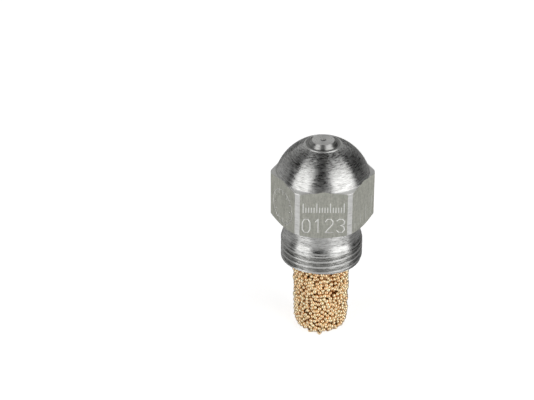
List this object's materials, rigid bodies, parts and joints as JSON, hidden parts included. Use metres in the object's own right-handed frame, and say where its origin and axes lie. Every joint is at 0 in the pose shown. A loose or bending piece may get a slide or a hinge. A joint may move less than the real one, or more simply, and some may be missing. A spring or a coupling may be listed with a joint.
{
  "type": "oil burner nozzle",
  "caption": "Domed hexagonal spray nozzle with a coned orifice disc, inner swirl plug, threaded retaining screw, outer thread and a sintered thimble filter.",
  "frame": {"origin": "centre of the filter's closed end, the lowest point of the nozzle", "axes": "+Z along the nozzle's axis towards the spray orifice; hexagon corners on X, flats facing -Y and +Y"},
  "size_m": [0.0178, 0.0158, 0.0371],
  "materials": {
    "stainless": "turned and ground stainless steel",
    "disc_steel": "finely turned hardened stainless steel",
    "distributor_steel": "turned stainless steel",
    "screw_brass": "turned free-cutting brass",
    "adapter_brass": "turned brass",
    "sintered_bronze": "sintered bronze beads"
  },
  "bodies": {
    "nozzle_body": {"nozzle_body": "stainless", "orifice_disc": "disc_steel"},
    "distributor": {"distributor": "distributor_steel"},
    "lock_screw": {"lock_screw": "screw_brass"},
    "filter": {"filter_adapter": "adapter_brass", "sintered_filter": "sintered_bronze"}
  },
  "joints": [
    {"name": "distributor_drop", "type": "slide", "parent": "nozzle_body", "child": "distributor", "axis": [0, 0, -1], "range_m": [0, 0.00476]},
    {"name": "lock_screw_turn", "type": "hinge", "parent": "distributor", "child": "lock_screw", "pos_m": [0, 0, 0.0204], "axis": [0, 0, -1], "range_deg": [0, 1619.9]},
    {"name": "filter_pull", "type": "slide", "parent": "lock_screw", "child": "filter", "axis": [0, 0, -1], "range_m": [0, 0.012]}
  ],
  "couplings": [
    {"joint": "distributor_drop", "follows": "lock_screw_turn", "m_per_rad": 0.00016844}
  ]
}
